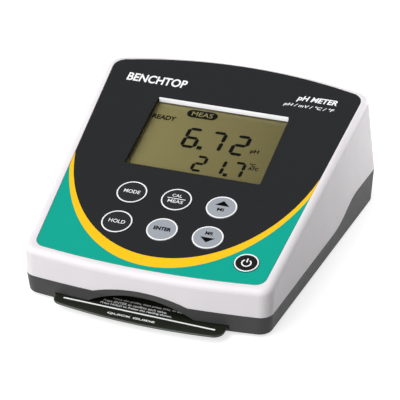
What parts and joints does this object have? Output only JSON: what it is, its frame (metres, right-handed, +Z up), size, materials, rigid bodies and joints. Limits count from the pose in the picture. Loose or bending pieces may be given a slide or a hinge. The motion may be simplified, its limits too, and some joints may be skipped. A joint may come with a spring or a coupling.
{
  "type": "benchtop ph meter",
  "caption": "Wedge-shaped benchtop pH meter with a sloping printed keypad, recessed display, press keys, rear connector bay and a slide-out guide card.",
  "frame": {"origin": "bottom centre of the whole object's box, on the plane of the feet", "axes": "+Z up, +Y to the back where the connectors are, +X to the right of someone using the keys"},
  "size_m": [0.1538, 0.1842, 0.069],
  "materials": {
    "case_light_grey": "fine moulded texture, warm light grey",
    "base_dark_grey": "fine moulded texture, dark grey",
    "panel_print": "printed film: charcoal field, yellow arc, teal corners",
    "key_dark": "charcoal key with a white ring and legend",
    "key_light": "light grey key with a white ring and dark legend",
    "bezel_black": "polished black",
    "window_clear": "clear polished acrylic",
    "lcd_olive": "olive reflective display with dark segments",
    "lcd_back": "display glass",
    "reflector_foil": "satin foil",
    "frame_white": "moulded",
    "elastomer": "soft striped contact rubber",
    "switch_black": "moulded",
    "board_green": "solder mask",
    "chip_black": "moulded epoxy",
    "ceramic_tan": "ceramic",
    "can_blue": "sleeved can",
    "steel_bright": "zinc plated",
    "brass_posts": "turned",
    "nickel": "nickel plated",
    "gold_contact": "gold plated",
    "ptfe_white": "PTFE",
    "ribbon_grey": "flat cable",
    "plate_dark": "satin",
    "foot_rubber": "soft",
    "label_silver": "blank satin film",
    "card_clear": "smoky clear laminate",
    "card_ink": "dark olive print with white lettering"
  },
  "bodies": {
    "housing": {"upper_shell": "case_light_grey", "lower_base": "base_dark_grey", "keypad_overlay": "panel_print", "display_bezel": "bezel_black", "window_lens": "window_clear", "lcd_front_glass": "lcd_olive", "lcd_rear_glass": "lcd_back", "lcd_reflector": "reflector_foil", "lcd_holder": "frame_white", "zebra_strips": "elastomer", "tact_switches": "switch_black", "display_board": "board_green", "board_screws": "steel_bright", "processor": "chip_black", "display_driver": "chip_black", "clock_crystal": "steel_bright", "buzzer": "switch_black", "display_board_capacitors": "ceramic_tan", "display_header": "switch_black", "rear_board": "board_green", "standoffs": "brass_posts", "rear_board_screws": "steel_bright", "input_shield": "steel_bright", "input_amplifier": "chip_black", "power_regulator": "chip_black", "supply_capacitors": "can_blue", "rear_header": "switch_black", "ribbon_cable": "ribbon_grey", "connector_plate": "plate_dark", "plate_screws": "steel_bright", "bnc_body": "nickel", "bnc_insulator": "ptfe_white", "bnc_contact": "gold_contact", "bnc_washer": "nickel", "bnc_nut": "nickel", "temp_jack": "switch_black", "temp_jack_nut": "nickel", "power_jack": "switch_black", "power_jack_pin": "nickel", "case_screws": "steel_bright", "rubber_feet": "foot_rubber", "rating_label": "label_silver", "card_channel": "base_dark_grey", "channel_screws": "steel_bright"},
    "guide_card": {"card_plate": "card_clear", "card_print": "card_ink"},
    "mode_key": {"mode_key": "key_dark"},
    "cal_meas_key": {"cal_meas_key": "key_dark"},
    "up_key": {"up_key": "key_light"},
    "hold_key": {"hold_key": "key_dark"},
    "enter_key": {"enter_key": "key_light"},
    "down_key": {"down_key": "key_light"},
    "power_key": {"power_key": "key_dark"}
  },
  "joints": [
    {"name": "card_slide", "type": "slide", "parent": "housing", "child": "guide_card", "axis": [-0.0401, -0.9992, 0], "range_m": [0, 0.085]},
    {"name": "mode_key_press", "type": "slide", "parent": "housing", "child": "mode_key", "axis": [0, 0.2576, -0.9662], "range_m": [0, 0.0008], "stiffness_N_per_m": 900, "springref_m": -0.0008},
    {"name": "cal_meas_key_press", "type": "slide", "parent": "housing", "child": "cal_meas_key", "axis": [0, 0.2576, -0.9662], "range_m": [0, 0.0008], "stiffness_N_per_m": 900, "springref_m": -0.0008},
    {"name": "up_key_press", "type": "slide", "parent": "housing", "child": "up_key", "axis": [0, 0.2576, -0.9662], "range_m": [0, 0.0008], "stiffness_N_per_m": 900, "springref_m": -0.0008},
    {"name": "hold_key_press", "type": "slide", "parent": "housing", "child": "hold_key", "axis": [0, 0.2576, -0.9662], "range_m": [0, 0.0008], "stiffness_N_per_m": 900, "springref_m": -0.0008},
    {"name": "enter_key_press", "type": "slide", "parent": "housing", "child": "enter_key", "axis": [0, 0.2576, -0.9662], "range_m": [0, 0.0008], "stiffness_N_per_m": 900, "springref_m": -0.0008},
    {"name": "down_key_press", "type": "slide", "parent": "housing", "child": "down_key", "axis": [0, 0.2576, -0.9662], "range_m": [0, 0.0008], "stiffness_N_per_m": 900, "springref_m": -0.0008},
    {"name": "power_key_press", "type": "slide", "parent": "housing", "child": "power_key", "axis": [0, 0.2576, -0.9662], "range_m": [0, 0.0008], "stiffness_N_per_m": 900, "springref_m": -0.0008}
  ]
}
